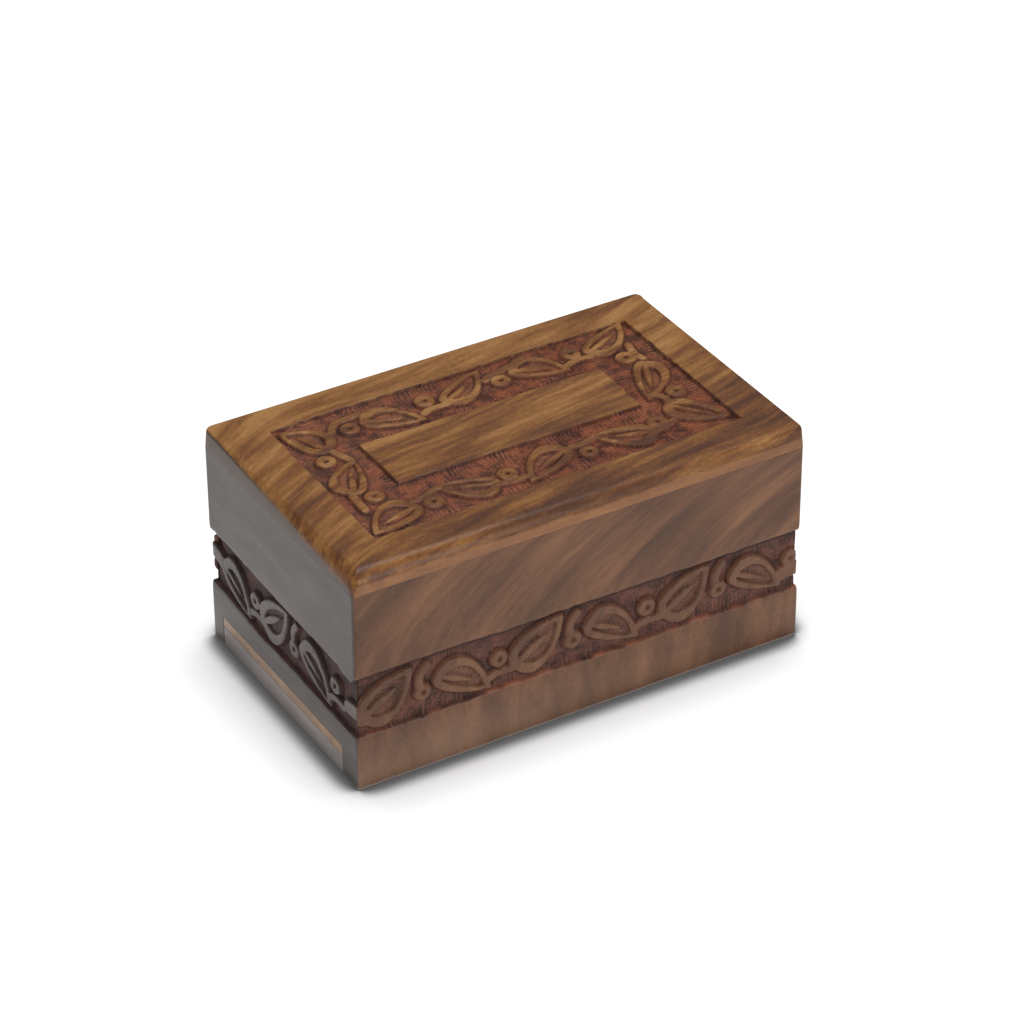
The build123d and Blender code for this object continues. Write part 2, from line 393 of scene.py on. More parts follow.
def tool_marks(along, across, seed):
    """Cuts that a small chisel left across the ground, side by side."""
    phase = along * 2 * np.pi / CHISEL_STEP + 3.6 * ripple(along, across, 2.9, seed)
    strength = np.clip(0.65 + 0.6 * ripple(along, across, 4.0, seed + 1), 0, 1)
    broken = np.clip(0.8 + 0.7 * ripple(along, across, 1.3, seed + 2), 0, 1)
    return (0.5 + 0.5 * np.sin(phase)) ** 2 * strength * broken


def sunk_surface(shelf, ground, carving, marks, seed):
    """How far the carved surface lies behind the plain face."""
    rough = 0.07 * ripple(carving.x, carving.y, 1.1, seed)
    floor = ground + 0.20 * carving.groove + 0.16 * (1 - marks) + rough
    return np.minimum(shelf * floor, floor - carving.height)


def wall_carving(u, z, wall):
    """The leaves, berries and stems of one wall."""
    carving = Carving(u, z, BAND_DEPTH, wall["seed"], wall["rim"])
    first, length = wall["first"], wall["length"]
    left_z, right_z = wall["stem_ends"]
    for number in range(wall["leaves"]):
        start = np.array([first + number * wall["pitch"], 0])
        kind = RISING if number % 2 == wall["rising"] else FALLING
        root, tip, left, right = kind["leaf"]
        carving.leaf(root + start, tip + start, left, right)
        carving.stem(np.array(kind["stem"]) + start)
        carving.berry(kind["berry"] + start)
    # Leaves die out at the corners. A thick stem goes round, and meets the next wall's.
    carving.fade(step(0, 1.1, u) * step(0, 1.1, length - u))
    root_z = (RISING if wall["rising"] == 0 else FALLING)["leaf"][0][1]
    carving.stem([(-2.0, left_z), (1.0, left_z), (first + 2.0, root_z)], CORNER_STEM_R)
    last = [(length - 5.0, right_z - 0.8), (length - 1.0, right_z), (length + 2.0, right_z)]
    carving.stem(last, CORNER_STEM_R)
    return carving


def band_edges(u, name, length):
    """The lower and upper edge of one wall's band, which was not cut quite level."""
    if name == "front_wall":
        rightward = step(0, length, u)
        return BAND_LOW - 0.4 - 0.6 * rightward, BAND_HIGH - 0.4 * rightward
    if name == "right_wall":
        near_front = 1 - step(0, 25, u)
        return BAND_LOW - near_front, BAND_HIGH - 0.4 * near_front
    if name == "back_wall":
        return BAND_LOW + 1.3 * step(length - 25, length, u), np.full_like(u, BAND_HIGH)
    # The left wall's upper edge sags, and drops just before the front corner.
    sag = 0.9 * step(10, 45, u) + 1.1 * step(length - 9.5, length - 7.0, u)
    high = BAND_HIGH - sag * (1 - step(length - 2.5, length - 0.5, u))
    return BAND_LOW + 1.3 - 1.7 * step(0, 26, u), high


def band_surface(u, z, name):
    """The carved band of one wall: how deep it lies, and how it is coloured."""
    wall = WALLS[name]
    seed, length = wall["seed"], wall["length"]
    carving = wall_carving(u, z, wall)
    calm = step(0, 3, u) * step(0, 3, length - u)
    low, high = band_edges(u, name, length)
    low += calm * (0.30 * ripple(u, 0, 9.0, seed + 3) + 0.12 * ripple(u, 0, 1.7, seed + 4))
    high += calm * (0.25 * ripple(u, 0, 14.0, seed + 5) + 0.10 * ripple(u, 0, 2.1, seed + 6))
    shelf = step(low, low + 1.7 * SHELF, z) * (1 - step(high - SHELF, high, z))
    beside = 1 - step(0.8, 3.6, np.minimum(z - low, high - z))
    marks = calm * tool_marks(u, z, seed + 7) * (0.4 + 0.6 * beside)
    sink = sunk_surface(shelf, BAND_DEPTH, carving, marks, seed + 2)
    # The bare ground changes its depth at some ends; where it is deeper, only high up.
    bare = shelf * (1 - np.clip(carving.height / carving.rise, 0, 1))
    for cut, away in zip(wall["end_cuts"], (u, length - u)):
        reach = step(21, 29, z) if cut > 0 else 1
        sink += bare * cut * np.exp(-(away / 3.4) ** 2) * reach
    # The edges above and below the band are eased by hand.
    sink = np.maximum(sink, 0.22 * np.exp(-np.abs(z - high) / 0.5))
    sink = np.maximum(sink, 0.22 * np.exp(-np.abs(z - low) / 0.4))
    flat = carving.height < 0.3
    # Painted shadow on the ground just below the band's upper edge, which overhangs it.
    under_shadow = 1.1 * step(high - 1.9, high - 1.3, z) + 0.25 * step(high - 5.0, high - 1.5, z)
    line = 0.42 * carving.groove + 0.30 * beside * (1 - marks) * flat + under_shadow * flat
    # The ground is dark beside the back left corner.
    back_left = {"left_wall": u, "back_wall": length - u}.get(name)
    if back_left is not None:
        line = np.maximum(line, flat * np.exp(-(back_left / 3.0) ** 2))
    # On the left wall the shapes' sides get little painted light and some painted shade; elsewhere they
    # get painted light.
    if name == "left_wall":
        colours = carving.colours(shelf, marks, 0.8 * line, 0.15, side_shade=0.4, wiped=0.66)
    else:
        colours = carving.colours(shelf, marks, line, 1.0, wiped=0.35)
    # The lower edge was cut back after the staining and shows paler wood, painted paler still as painted
    # light on its upward-facing shelf.
    broken = np.clip(0.55 + 0.9 * ripple(u, z, 3.1, seed + 9), 0, 1)
    fresh_and_lit = step(low, low + 0.15, z) * (1 - step(low + 0.35, low + 0.9, z)) * flat * broken
    colours["fresh_and_lit"] = fresh_and_lit
    colours["line"] *= 1 - fresh_and_lit
    return sink, colours


def top_surface(x, y):
    """The ring in the top board: how deep it lies, and how it is coloured."""
    carving = Carving(x, y, RING_DEPTH, TOP_LEAF_SEED)
    for root, tip, left, right in TOP_LEAVES:
        carving.leaf(root, tip, left, right)
    for points in TOP_STEMS:
        carving.stem(points)
    for centre in TOP_BERRIES:
        carving.berry(centre, TOP_BERRY_SIZE)
    wobble = 0.20 * ripple(x, y, 11.0, TOP_SEED) + 0.15 * ripple(x, y, 1.6, TOP_SEED + 1)
    outer = np.minimum.reduce([x - RING_X[0], RING_X[1] - x, y - RING_Y[0], RING_Y[1] - y]) + wobble
    inner = np.maximum.reduce([PANEL_X[0] - x, x - PANEL_X[1], PANEL_Y[0] - y, y - PANEL_Y[1]]) - wobble
    shelf = step(0, SHELF, outer) * step(0, SHELF, inner)
    at_end = (x < PANEL_X[0]) | (x > PANEL_X[1])
    beside = 1 - step(0.8, 3.6, np.minimum(outer, inner))
    marks = np.where(at_end, tool_marks(y, x, TOP_SEED + 10), tool_marks(x, y, TOP_SEED + 20))
    marks = marks * (0.45 + 0.55 * beside)
    sink = sunk_surface(shelf, RING_DEPTH, carving, marks, TOP_SEED + 2)
    flat = carving.height < 0.3
    # Painted shade along the foot of the ring's outer and inner walls.
    edge_shade = np.exp(-((outer - 0.15) / 0.24) ** 2) + np.exp(-((inner - 0.15) / 0.24) ** 2)
    line = 0.80 * carving.groove + 0.20 * (1 - marks) * flat * (0.5 + 0.5 * beside)
    line = line + 0.95 * edge_shade * flat
    # The shapes' sides get a little painted light and some painted shade.
    colours = carving.colours(shelf, marks, line, 0.15, side_shade=0.25)
    colours["fresh_and_lit"] = np.zeros_like(x)
    return sink, colours


# ---------------------------------------------------------------- meshes
def make_mesh(name, points, faces, **numbers):
    """A mesh object from points in mm, with named numbers on its points."""
    mesh = bpy.data.meshes.new(name)
    mesh.from_pydata((np.asarray(points) * MM).tolist(), [], faces)
    for label, values in numbers.items():
        layer = mesh.attributes.new(label, "FLOAT", "POINT")
        layer.data.foreach_set("value", np.asarray(values, np.float32))
    mesh.validate()
    piece = bpy.data.objects.new(name, mesh)
    bpy.context.scene.collection.objects.link(piece)
    return piece


def smooth(piece, sharp_angle=50):
    """Smooth shading, with edges sharper than an angle left crisp."""
    piece.data.shade_smooth()
    piece.data.set_sharp_from_angle(angle=math.radians(sharp_angle))


def apply_modifiers(piece):
    """Keeps what the modifiers made of the mesh, and drops the modifiers."""
    state = bpy.context.evaluated_depsgraph_get()
    mesh = bpy.data.meshes.new_from_object(piece.evaluated_get(state))
    piece.modifiers.clear()
    piece.data = mesh


def make_box(name, low, high):
    """A plain box between two corners."""
    points = [(x, y, z) for z in (low[2], high[2]) for y in (low[1], high[1]) for x in (low[0], high[0])]
    faces = [(0, 2, 3, 1), (4, 5, 7, 6), (0, 1, 5, 4), (2, 6, 7, 3), (0, 4, 6, 2), (1, 3, 7, 5)]
    return make_mesh(name, points, faces)


def span(*parts):
    """Grid lines: each part is (start, stop, spacing), one after the other."""
    lines = []
    for start, stop, spacing in parts:
        count = max(1, round((stop - start) / spacing))
        lines.extend(np.linspace(start, stop, count, endpoint=False))
    lines.append(parts[-1][1])
    return np.array(lines)


def wall_piece(name):
    """One mitred wall, with its half of the worn corner at each end."""
    wall = WALLS[name]
    length, corner = wall["length"], CORNER_R
    u_lines = span((0, corner, CORNER_FINE), (corner, length - corner, FINE),
                   (length - corner, length, CORNER_FINE))
    fine_from, fine_to = BAND_LOW - 1.6, BAND_HIGH + 3.0
    eased_from, joint = WALL_TOP - 0.3, WALL_TOP - JOINT_R
    z_lines = span((0, ARRIS_R, 0.1), (ARRIS_R, fine_from, 2.4), (fine_from, fine_to, FINE),
                   (fine_to, eased_from, 3.2), (eased_from, joint, 0.24), (joint, WALL_TOP, JOINT_R))
    u, z = np.meshgrid(u_lines, z_lines, indexing="ij")
    sink, colours = band_surface(u, z, name)
    foot = np.clip(ARRIS_R - z, 0, None)
    sink += ARRIS_R - np.sqrt(ARRIS_R**2 - foot**2)
    sink += np.clip(z - joint, 0, None)
    # Sanding by hand left the faces a trace uneven.
    calm = step(0, 12, u) * step(0, 12, length - u)
    sink += 0.05 * calm * (1 + ripple(u, z, 22.0, wall["seed"] + 8))
    # Each end turns through half a right angle, round the worn corner.
    turn = np.radians(45) * (np.clip(1 - (length - u) / corner, 0, 1) - np.clip(1 - u / corner, 0, 1))
    along = np.clip(u, corner, length - corner) + (corner - sink) * np.sin(turn)
    depth = corner * (1 - np.cos(turn)) + sink * np.cos(turn)
    along = np.clip(along, depth, length - depth)
    # Two more points in each column close it along the wall's inner face.
    inner_along = np.interp(u_lines, [0, length], [WALL_THICK, length - WALL_THICK])
    along = np.column_stack([along, inner_along, inner_along])
    depth = np.pad(depth, ((0, 0), (0, 2)), constant_values=WALL_THICK)
    height = np.column_stack([z, np.full(len(u_lines), WALL_TOP), np.zeros(len(u_lines))])
    forward = np.array(wall["along"])
    inward = np.array([-forward[1], forward[0]])
    side_x, side_y = wall["at"]
    x = side_x * HALF_L + along * forward[0] + depth * inward[0]
    y = side_y * HALF_W + along * forward[1] + depth * inward[1]
    index = np.arange(along.size).reshape(along.shape)
    above = np.roll(index, -1, axis=1)
    quads = np.stack([index[:-1], index[1:], above[1:], above[:-1]], axis=-1).reshape(-1, 4)
    faces = quads.tolist() + [index[0].tolist(), index[-1][::-1].tolist()]
    points = np.stack([x, y, height], axis=-1).reshape(-1, 3)
    numbers = {label: np.pad(values, ((0, 0), (0, 2))).ravel() for label, values in colours.items()}
    return make_mesh(name + "_carved", points, faces, **numbers)


def cut_slide_way(walls):
    """Cuts the slide's grooves and its mouth out of the walls."""
    outside, below = LOW[0] - 1, -1
    front, back = BOARD_LOW[1] - SIDE_GAP, BOARD_HIGH[1] + SIDE_GAP
    bottom, top = BOARD_LOW[2] - FACE_GAP, BOARD_HIGH[2] + FACE_GAP
    grooves = ((outside, front, bottom), (BOARD_HIGH[0] + 2 * SIDE_GAP, back, top))
    mouth = ((outside, front, below), (LOW[0] + WALL_THICK, back, top))
    for low, high in (grooves, mouth):
        cutter = make_box("slide_way", low, high)
        for wall in walls:
            cut = wall.modifiers.new("slide_way", "BOOLEAN")
            cut.operation = "DIFFERENCE"
            cut.solver = "EXACT"
            cut.object = cutter
            apply_modifiers(wall)
        bpy.data.objects.remove(cutter)


def top_lines(half, ring):
    """Grid lines across the top: close on the carving and near the edges."""
    bend = ROUND_ZONE * np.linspace(1, 0, 12)[1:] ** 2
    low, high = ring[0] - 0.8, ring[1] + 0.8
    flat = half - ROUND_ZONE
    middle = span((-flat, low, TOP_PLAIN), (low, high, TOP_FINE), (high, flat, TOP_PLAIN))
    return np.concatenate([bend[::-1] - half, middle, half - bend])


def round_corners(x, y, radius):
    """Rounds a square plan's corners; also tells how far in each point is."""
    from_x, from_y = HALF_L - np.abs(x), HALF_W - np.abs(y)
    a, b = np.clip(1 - from_x / radius, 0, 1), np.clip(1 - from_y / radius, 0, 1)
    in_corner = (a > 0) & (b > 0)
    round_x = np.sign(x) * (HALF_L - radius + radius * a * np.sqrt(1 - b**2 / 2))
    round_y = np.sign(y) * (HALF_W - radius + radius * b * np.sqrt(1 - a**2 / 2))
    corner_edge = radius * (1 - np.sqrt(np.clip(a**2 + b**2 - (a * b) ** 2, 0, 1)))
    edge = np.where(in_corner, corner_edge, np.minimum(from_x, from_y))
    return np.where(in_corner, round_x, x), np.where(in_corner, round_y, y), edge


def round_over(x, y, edge):
    """How far the worn top edge falls, at a distance in from the outline."""
    along_x, along_y = (x / LENGTH + 0.5), (y / WIDTH + 0.5)
    side_x = np.where(x < 0, between(LEFT_ROUND[1], LEFT_ROUND[0], along_y),
                      between(*RIGHT_ROUND, along_y))
    side_y = np.where(y < 0, between(*FRONT_ROUND, along_x),
                      between(BACK_ROUND[1], BACK_ROUND[0], along_x))
    near_x = np.clip(1 - (HALF_L - np.abs(x)) / ROUND_ZONE, 0, 1) ** 4
    near_y = np.clip(1 - (HALF_W - np.abs(y)) / ROUND_ZONE, 0, 1) ** 4
    tiny = 1e-9
    radius = (near_x * side_x + near_y * side_y) / (near_x + near_y + tiny) + tiny
    part = np.clip(1 - edge / radius, 0, 1)
    return radius * (1 - (1 - part**ROUNDNESS) ** (1 / ROUNDNESS))


def top_piece():
    """The top board: a carved face, a round-over and a plain edge."""
    x, y = np.meshgrid(top_lines(HALF_L, RING_X), top_lines(HALF_W, RING_Y), indexing="ij")
    sink, colours = top_surface(x, y)
    plan_x, plan_y, edge = round_corners(x, y, TOP_CORNER_R)
    fall = round_over(x, y, edge)
    inland = np.clip(np.minimum(HALF_L - np.abs(x), HALF_W - np.abs(y)) / ROUND_ZONE, 0, 1)
    sanded = 0.05 * (1 + ripple(x, y, 26.0, TOP_SEED + 30)) * inland
    top = np.stack([plan_x, plan_y, HEIGHT - fall - sink - sanded], axis=-1).reshape(-1, 3)
    index = np.arange(x.size).reshape(x.shape)
    quads = np.stack([index[:-1, :-1], index[1:, :-1], index[1:, 1:], index[:-1, 1:]], axis=-1)
    # A plain edge runs down from the rim to the underside.
    rim = np.concatenate([index[:-1, 0], index[-1, :-1], index[:0:-1, -1], index[0, :0:-1]])
    foot = np.column_stack(round_corners(x.ravel()[rim], y.ravel()[rim], CORNER_R)[:2])
    points, faces = [top], quads.reshape(-1, 4).tolist()
    upper, count = rim, len(top)
    for level, inset in [(WALL_TOP + 0.3, 0), (WALL_TOP + JOINT_R, 0), (WALL_TOP, JOINT_R)]:
        shrink = 1 - inset / np.array([HALF_L, HALF_W])
        ring = np.column_stack([foot * shrink, np.full(len(rim), level)])
        lower = np.arange(count, count + len(rim))
        sides = np.stack([lower, np.roll(lower, -1), np.roll(upper, -1), upper], axis=-1)
        faces += sides.tolist()
        points.append(ring)
        upper, count = lower, count + len(rim)
    faces.append(upper[::-1].tolist())
    plain = np.zeros(count - len(top))
    numbers = {label: np.concatenate([values.ravel(), plain]) for label, values in colours.items()}
    return make_mesh("top_panel_carved", np.vstack(points), faces, **numbers)


def eased_board(name, low, high):
    """A sawn board with its edges eased by a rub of sandpaper."""
    piece = make_box(name, low, high)
    bevel = piece.modifiers.new("eased", "BEVEL")
    bevel.width = SLIDE_EDGE_R * MM
    bevel.segments = 3
    apply_modifiers(piece)
    return piece


# ---------------------------------------------------------------- materials
# Each wood's tones, from its darkest streaks to its palest, and their places.
TONE_PLACES = (0.0, 0.35, 0.58, 1.0)
TOP_TONES = [(0.068, 0.020, 0.004), (0.134, 0.045, 0.008), (0.204, 0.080, 0.0155), (0.325, 0.158, 0.045)]
WALL_TONES = [(0.046, 0.018, 0.008), (0.086, 0.034, 0.014), (0.127, 0.051, 0.021), (0.212, 0.094, 0.040)]
# The left wall's tones: a darker, greyer copy of the walls' wood, painted shade with a painted grey
# reflection.
SHADED_SIDE_TONES = [(0.034, 0.023, 0.019), (0.052, 0.037, 0.031), (0.072, 0.052, 0.045), (0.120, 0.085, 0.071)]
# The slide's end block shows in the left wall and takes the same darker, greyer copy: painted shade and a
# painted grey reflection.
SHADED_BLOCK_TONES = [(0.085, 0.062, 0.054), (0.115, 0.087, 0.077), (0.145, 0.110, 0.098), (0.190, 0.145, 0.128)]
BOARD_TONES = [(0.19, 0.115, 0.062), (0.26, 0.160, 0.086), (0.33, 0.205, 0.112), (0.42, 0.28, 0.16)]
PALE_TONE = (0.310, 0.146, 0.068)
# The top board's left end: painted shade and a painted grey reflection.
SHADED_LEFT_END_TONE = (0.060, 0.037, 0.029)
RIGHT_END_TONE = (0.100, 0.042, 0.018)
# Paler tones for the feet of the pieces: painted light; the left wall's and the end block's are also
# greyed, as painted shade.
WALL_FOOT_LIT = (0.190, 0.105, 0.064)
SHADED_SIDE_FOOT_LIT = (0.13, 0.115, 0.108)
SHADED_BLOCK_FOOT_LIT = (0.41, 0.365, 0.352)
BOARD_FOOT_LIT = (0.38, 0.235, 0.158)
# A pale line along the bottom edges: a painted reflection of the glowing table.
FOOT_REFLECTION_TONE = (0.30, 0.27, 0.26)
# The dark of the carving's cut lines, and of the shade painted in its hollows.
LINE_AND_SHADE_TONE = (0.028, 0.009, 0.007)
# The stain at its darkest and palest, the chisel's strokes, and the fresh edge, partly painted light.
TOP_STAIN = [(0.042, 0.010, 0.006), (0.222, 0.060, 0.024), (0.42, 0.175, 0.105), (0.40, 0.16, 0.10)]
WALL_STAIN = [(0.028, 0.010, 0.007), (0.135, 0.050, 0.034), (0.225, 0.090, 0.055), (0.34, 0.12, 0.062)]
# The left wall's stain, darkened and greyed the same way: painted shade and a painted grey reflection.
SHADED_SIDE_STAIN = [(0.025, 0.009, 0.007), (0.075, 0.027, 0.021), (0.120, 0.050, 0.040), (0.080, 0.032, 0.025)]

# Widths of the wide, middle and fine streaks in the grain, mm.
WALL_STREAKS = (10.0, 4.2, 1.0)
FRONT_STREAKS = (10.0, 4.6, 1.5)
BOARD_STREAKS = (4.5, 1.7, 0.55)
GRAIN_RELIEF = 0.04        # mm


class Graph:
    """A short way to write a material's nodes.  Places are in millimetres."""

    def __init__(self, name):
        self.material = bpy.data.materials.new(name)
        self.material.use_nodes = True
        self.tree = self.material.node_tree
        self.shader = self.tree.nodes["Principled BSDF"]
        place = self.tree.nodes.new("ShaderNodeTexCoord").outputs["Object"]
        self.place = self.vector_math("MULTIPLY", place, (1 / MM, 1 / MM, 1 / MM))

    def put(self, socket, value):
        """Links a value that comes from a node, or sets a plain one."""
        if isinstance(value, bpy.types.NodeSocket):
            self.tree.links.new(value, socket)
        else:
            socket.default_value = value

    def math(self, kind, a, b=0.0):
        node = self.tree.nodes.new("ShaderNodeMath")
        node.operation = kind
        self.put(node.inputs[0], a)
        self.put(node.inputs[1], b)
        return node.outputs[0]

    def add(self, total, *values):
        for value in values:
            total = self.math("ADD", total, value)
        return total

    def minus(self, a, b):
        return self.math("SUBTRACT", a, b)

    def times(self, product, *values):
        for value in values:
            product = self.math("MULTIPLY", product, value)
        return product

    def vector_math(self, kind, a, b):
        node = self.tree.nodes.new("ShaderNodeVectorMath")
        node.operation = kind
        self.put(node.inputs[0], a)
        self.put(node.inputs[1], b)
        return node.outputs[0]

    def join(self, x, y, z):
        node = self.tree.nodes.new("ShaderNodeCombineXYZ")
        for socket, value in zip(node.inputs, (x, y, z)):
            self.put(socket, value)
        return node.outputs[0]

    def parts(self, vector):
        node = self.tree.nodes.new("ShaderNodeSeparateXYZ")
        self.put(node.inputs[0], vector)
        return node.outputs

    def about_half(self, *terms):
        """Adds (weight, value) pairs, each value taken about its middle, 0.5."""
        total = 0.5
        for weight, value in terms:
            total = self.add(self.times(self.minus(value, 0.5), weight), total)
        return total

    def noise(self, vector, size, detail=2.0, roughness=0.5):
        """Noise whose blots are about size mm along each axis of the vector."""
        node = self.tree.nodes.new("ShaderNodeTexNoise")
        node.inputs["Scale"].default_value = 1.0
        node.inputs["Detail"].default_value = detail
        node.inputs["Roughness"].default_value = roughness
        scaled = self.vector_math("MULTIPLY", vector, tuple(1 / length for length in size))
        self.put(node.inputs["Vector"], scaled)
        return node.outputs[0]

    def slope(self, value, start, stop, low=0.0, high=1.0):
        """Eases from low to high as the value goes from start to stop."""
        node = self.tree.nodes.new("ShaderNodeMapRange")
        node.interpolation_type = "SMOOTHSTEP"
        for socket, number in zip(node.inputs, (value, start, stop, low, high)):
            self.put(socket, number)
        return node.outputs[0]

    def ramp(self, value, stops):
        """The colour at a value, between (place, colour) stops."""
        node = self.tree.nodes.new("ShaderNodeValToRGB")
        elements = node.color_ramp.elements
        for place, colour in stops[1:-1]:
            elements.new(place)
        for element, (place, colour) in zip(elements, stops):
            element.position = place
            element.color = (*colour, 1)
        self.put(node.inputs[0], value)
        return node.outputs[0]

    def mix(self, factor, a, b):
        """Colour a where the factor is 0, and colour b where it is 1."""
        node = self.tree.nodes.new("ShaderNodeMix")
        node.data_type = "RGBA"
        self.put(node.inputs["Factor"], factor)
        for socket, colour in zip((node.inputs[6], node.inputs[7]), (a, b)):
            self.put(socket, colour if isinstance(colour, bpy.types.NodeSocket) else (*colour, 1))
        return node.outputs[2]

    def number(self, name):
        """A number that the mesh holds at its points."""
        node = self.tree.nodes.new("ShaderNodeAttribute")
        node.attribute_name = name
        return node.outputs["Fac"]

    def openness(self, reach):
        """1 in the open, and less where something stands within reach mm."""
        node = self.tree.nodes.new("ShaderNodeAmbientOcclusion")
        node.inputs["Distance"].default_value = reach * MM
        return node.outputs["AO"]

    def bump(self, height, distance):
        """Shades the surface as if height stood out of it, distance mm at 1."""
        node = self.tree.nodes.new("ShaderNodeBump")
        node.inputs["Strength"].default_value = 1.0
        node.inputs["Distance"].default_value = distance * MM
        self.put(node.inputs["Height"], height)
        self.put(self.shader.inputs["Normal"], node.outputs[0])


# Each kind of grain gives a place across the grain, along it and through it.
def top_grain(graph):
    """Grain that leans from the long side, and more so towards the ends."""
    x, y, z = graph.parts(graph.place)
    past_left = graph.math("MAXIMUM", graph.minus(-38.0, x), 0)
    past_right = graph.math("MAXIMUM", graph.minus(x, 44.0), 0)
    left = graph.times(past_left, past_left, 0.010)
    right = graph.times(past_right, past_right, -0.006)
    return graph.join(graph.add(y, graph.times(x, -0.14), left, right), x, z)


def swept_grain(graph):
    """Grain that stands upright at the foot and sweeps over to the right."""
    x, y, z = graph.parts(graph.place)
    above = graph.math("MAXIMUM", graph.minus(z, 11), 0)
    lean = graph.add(graph.math("DIVIDE", x, 150), 0.98)
    across = graph.minus(x, graph.times(above, above, 0.0172, lean))
    return graph.join(across, z, y)


def level_grain(graph):
    """Grain that runs level along the short walls."""
    x, y, z = graph.parts(graph.place)
    return graph.join(graph.add(z, graph.times(y, 0.05)), y, x)


def plank_grain(graph):
    """Straight grain along the length of the slide's board."""
    x, y, z = graph.parts(graph.place)
    return graph.join(y, x, z)


def streaks(graph, lines, widths, contrast):
    """The wood's tone, about 0.5, the height of its grain, and its fine streaks."""
    across, along, through = graph.parts(lines)
    wander = graph.times(graph.minus(graph.noise(lines, (22, 60, 22)), 0.5), 9)
    lines = graph.join(graph.add(across, wander), along, through)
    wide, middle, thin = widths
    streak = graph.noise(lines, (wide, 40, wide), detail=2)
    band = graph.noise(lines, (middle, 16, middle), detail=2)
    fine = graph.noise(lines, (thin, 6, thin), detail=3, roughness=0.6)
    fleck = graph.noise(lines, (0.8, 1.5, 0.8), detail=2)
    pore = graph.slope(graph.noise(lines, (0.34, 3.0, 0.5), detail=1), 0.60, 0.72)
    cloud = graph.noise(graph.place, (26, 26, 26), detail=1)
    tone = graph.about_half((1.9 * contrast, streak), (1.2 * contrast, band), (0.5 * contrast, fine),
                            (0.6 * contrast, fleck), (0.8 * contrast, cloud))
    tone = graph.minus(tone, graph.times(pore, 0.12))
    return tone, graph.about_half((-0.5, pore), (0.6, fine), (0.3, band)), fine


def top_tone_and_light(graph, tone):
    """Paler towards the back, painted light on the front and left edges' round-over, and darker at the
    ends.
    """
    x, y, z = graph.parts(graph.place)
    lit_front_edge = graph.slope(y, 1.2 - HALF_W, 4.0 - HALF_W, 0.08, 0.0)
    lit_left_edge = graph.slope(x, 0.6 - HALF_L, 3.0 - HALF_L, 0.14, 0.0)
    ends = graph.slope(graph.math("ABSOLUTE", x), 50, 56, 0.0, 0.07)
    tone = graph.add(tone, graph.times(y, 0.0062), graph.times(x, -0.0003), lit_front_edge, lit_left_edge)
    return graph.minus(tone, ends)


def top_board_edges(graph, colour):
    """The top board's edge: pale along the long sides, brown end grain at the right end, and painted
    shade with a painted grey reflection at the left end.
    """
    x, y, z = graph.parts(graph.place)
    long_side = graph.slope(graph.math("ABSOLUTE", y), HALF_W - 0.4, HALF_W - 0.1)
    short_side = graph.slope(graph.math("ABSOLUTE", x), HALF_L - 0.6, HALF_L - 0.2)
    waver = graph.times(graph.noise(graph.place, (7, 7, 7)), 1.8)
    below = graph.slope(graph.add(z, waver), WALL_TOP + 3.2, WALL_TOP + 4.1, 1.0, 0.0)
    colour = graph.mix(graph.times(below, long_side, 0.48), colour, PALE_TONE)
    # The ends' tone reaches up less far towards the front, where the left end's painted shade follows the
    # larger round-over.
    level = graph.minus(z, graph.times(y, 0.070))
    lower = graph.slope(level, WALL_TOP + 3.0, WALL_TOP + 4.6, 1.0, 0.0)
    end_tone = graph.mix(graph.slope(x, -1, 1), SHADED_LEFT_END_TONE, RIGHT_END_TONE)
    return graph.mix(graph.times(lower, short_side, 0.9), colour, end_tone)


def lit_foot(graph, colour, tone, foot, foot_light_amount):
    """The foot is painted paler than the rest of a wall, as painted light, and its bottom edge takes a
    painted reflection of the table.
    """
    x, y, z = graph.parts(graph.place)
    # How much painted light each foot takes, from the left end to the right.
    share = graph.slope(x, LOW[0], HIGH[0], *foot_light_amount)
    share = graph.times(graph.slope(z, 0.0, 18.0, 1.0, 0.0), share)
    pale = graph.ramp(tone, [(0.25, np.multiply(foot, 0.86)), (0.75, np.multiply(foot, 1.14))])
    colour = graph.mix(share, colour, pale)
    # The pale bottom edge: a painted reflection.
    return graph.mix(graph.slope(z, 0.35, 1.1, 0.8, 0.0), colour, FOOT_REFLECTION_TONE)


def carved_colours(graph, colour, stain, line_and_shade_amount):
    """The stain in the carving's ground, its dark cut lines with painted shade, and its pale strokes with
    some painted light.
    """
    darkest, palest, chisel_stroke, fresh_lit_edge = stain
    amount = graph.number("stain")
    speck = graph.noise(graph.place, (0.6, 0.6, 0.6), detail=2)
    patch = graph.noise(graph.place, (3.5, 3.5, 3.5), detail=2)
    ground = graph.ramp(graph.about_half((0.9, speck), (1.3, patch)), [(0.30, darkest), (0.74, palest)])
    colour = graph.mix(graph.times(amount, 0.94), colour, ground)
    colour = graph.mix(graph.times(graph.number("stroke"), 0.55), colour, chisel_stroke)
    # The fresh edge: pale wood with painted light on the shelf.
    colour = graph.mix(graph.times(graph.number("fresh_and_lit"), 0.85), colour, fresh_lit_edge)
    # Dark cut lines, and painted shade in grooves, slits, pits and under edges.
    line = graph.times(graph.number("line"), line_and_shade_amount)
    return graph.mix(line, colour, LINE_AND_SHADE_TONE), amount, speck


